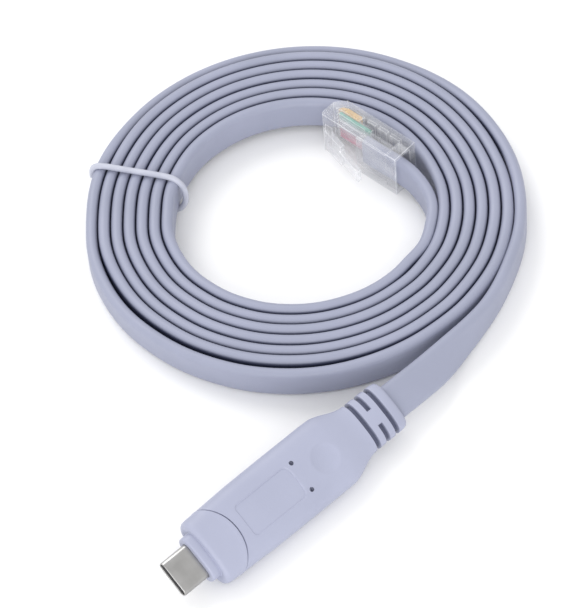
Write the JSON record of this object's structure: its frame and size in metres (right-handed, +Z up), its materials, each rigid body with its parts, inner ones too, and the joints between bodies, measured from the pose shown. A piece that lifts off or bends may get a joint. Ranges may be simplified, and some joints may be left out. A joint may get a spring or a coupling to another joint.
{
  "type": "usb-c to rj45 console cable",
  "caption": "Flat console cable wound into a flat coil and tied, with a USB-C converter head at one end and a clear RJ45 plug at the other.",
  "frame": {"origin": "on the floor, under the middle of the converter head with its USB-C shell", "axes": "+Y from the USB-C shell to the cable boot along the head, +Z up from the floor, the coil towards -X and +Y"},
  "size_m": [0.1056, 0.1318, 0.0121],
  "materials": {
    "shell_metal": "satin nickel plate",
    "liner_plastic": "black moulded plastic",
    "head_plastic": "satin pale blue-grey soft plastic",
    "cable_jacket": "satin pale blue-grey soft plastic",
    "tie_plastic": "off-white plastic over a wire",
    "clear_plastic": "clear moulded plastic",
    "contact_gold": "gold plate",
    "wire_red": "satin wire insulation",
    "wire_pink": "satin wire insulation",
    "wire_plum": "satin wire insulation",
    "wire_mauve": "satin wire insulation",
    "wire_grey": "satin wire insulation",
    "wire_white": "satin wire insulation",
    "wire_pale_green": "satin wire insulation",
    "wire_teal": "satin wire insulation"
  },
  "bodies": {
    "root": {"usb_c_shell": "shell_metal", "usb_c_liner": "liner_plastic", "plug_nose": "head_plastic", "plug_body": "head_plastic", "cable_coil": "cable_jacket", "cable_usb_lead": "cable_jacket", "cable_rj45_lead": "cable_jacket", "twist_tie": "tie_plastic", "rj45_body": "clear_plastic", "rj45_contact_1": "contact_gold", "rj45_contact_2": "contact_gold", "rj45_contact_3": "contact_gold", "rj45_contact_4": "contact_gold", "rj45_contact_5": "contact_gold", "rj45_contact_6": "contact_gold", "rj45_contact_7": "contact_gold", "rj45_contact_8": "contact_gold", "rj45_wire_1": "wire_red", "rj45_wire_2": "wire_pink", "rj45_wire_3": "wire_plum", "rj45_wire_4": "wire_mauve", "rj45_wire_5": "wire_grey", "rj45_wire_6": "wire_white", "rj45_wire_7": "wire_pale_green", "rj45_wire_8": "wire_teal"}
  },
  "joints": []
}
